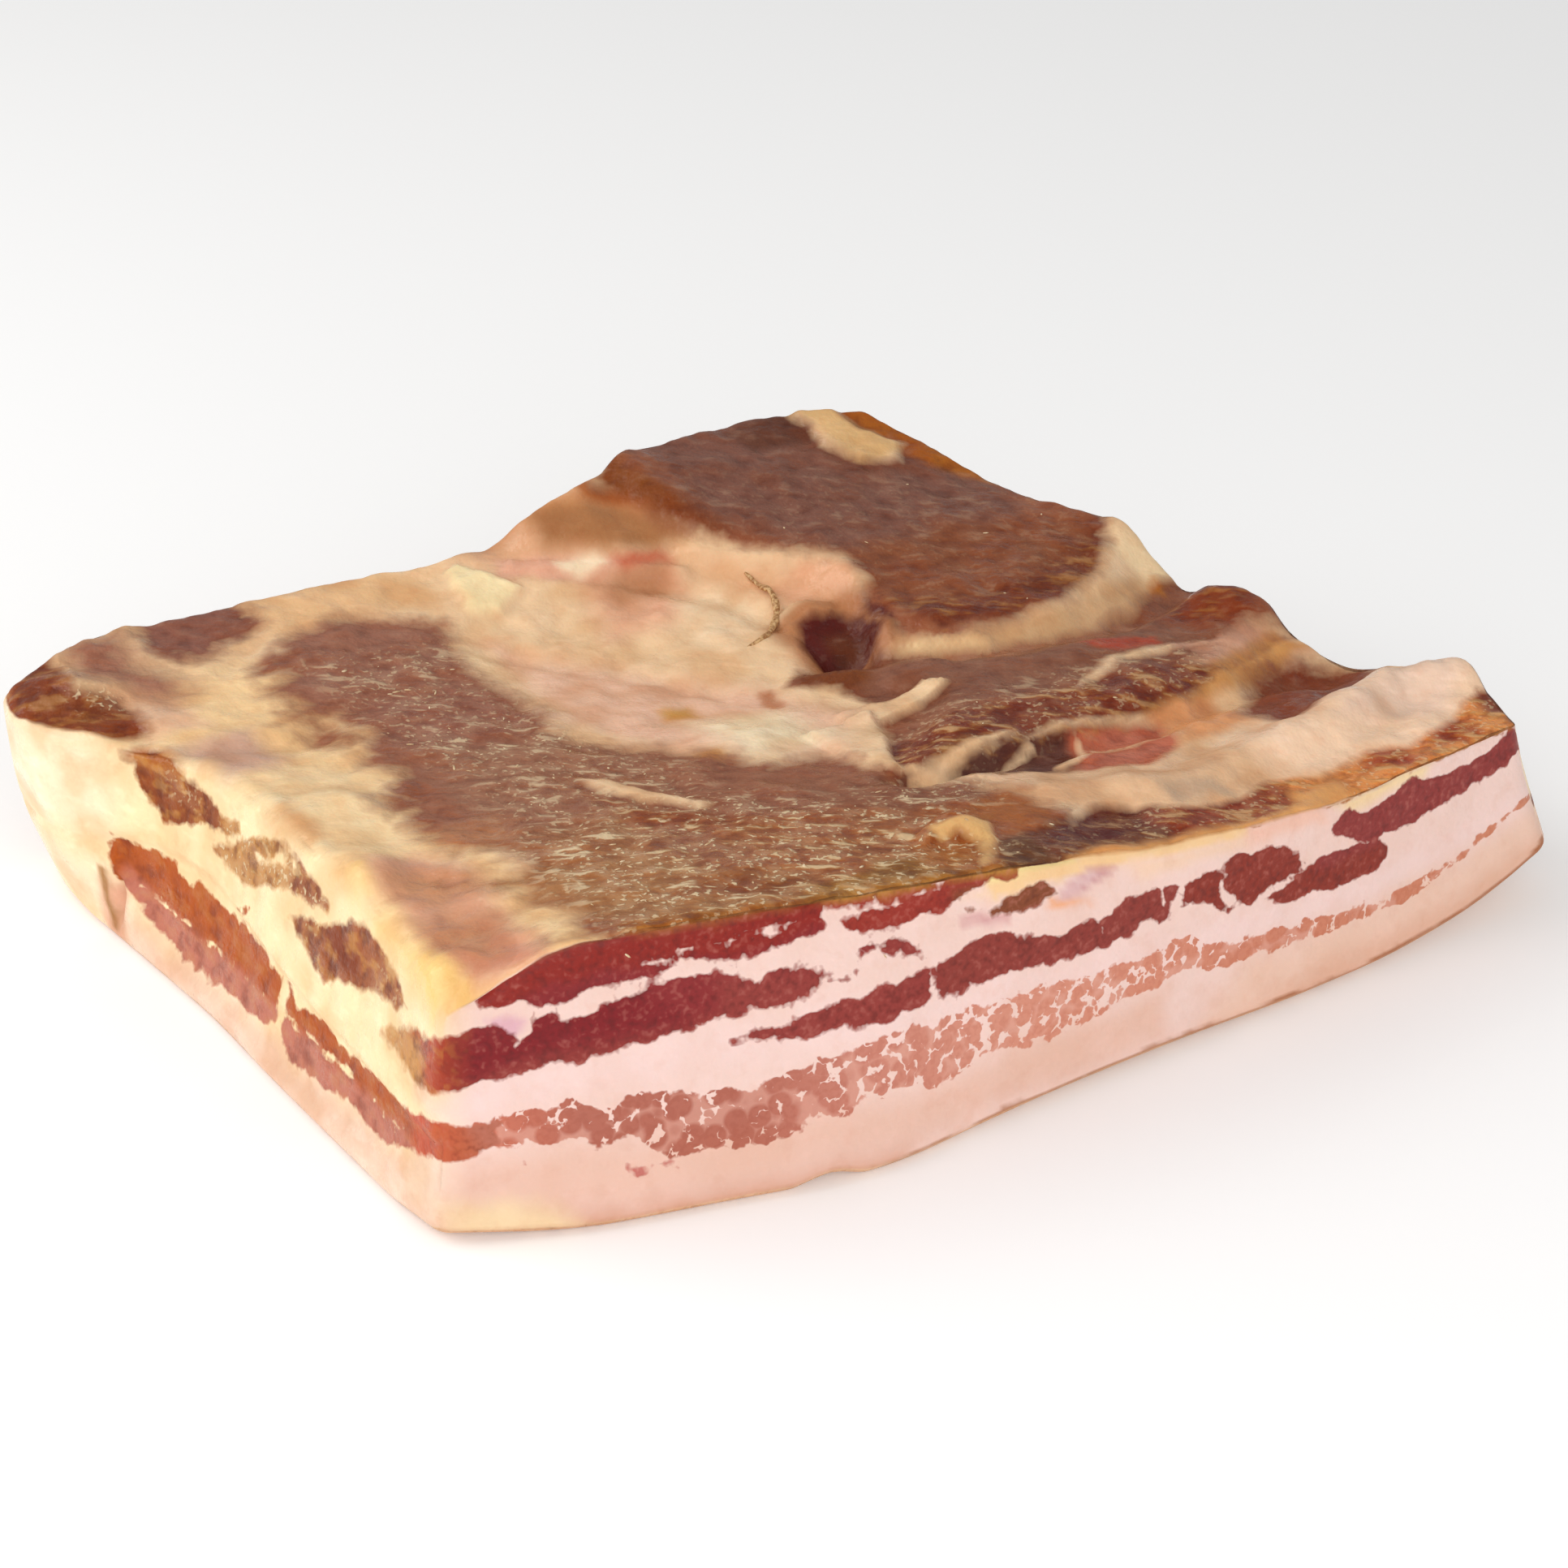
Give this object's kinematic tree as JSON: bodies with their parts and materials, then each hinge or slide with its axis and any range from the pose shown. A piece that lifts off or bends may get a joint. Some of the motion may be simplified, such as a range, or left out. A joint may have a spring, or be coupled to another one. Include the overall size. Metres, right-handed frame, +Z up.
{
  "type": "pancetta slab",
  "caption": "Slab of flat cured pork belly lying on its rind, with streaky cut sides and a dried, browned lean side on top.",
  "frame": {"origin": "middle of the slab's box at table height", "axes": "+X along the fresh cut at the front, towards the curled right end; +Y from the fresh cut to the back; +Z up, from the rind to the lean side"},
  "size_m": [0.2726, 0.197, 0.063],
  "materials": {
    "cured_belly": "slightly greasy, satin"
  },
  "bodies": {
    "root": {"pancetta_slab": "cured_belly"}
  },
  "joints": []
}
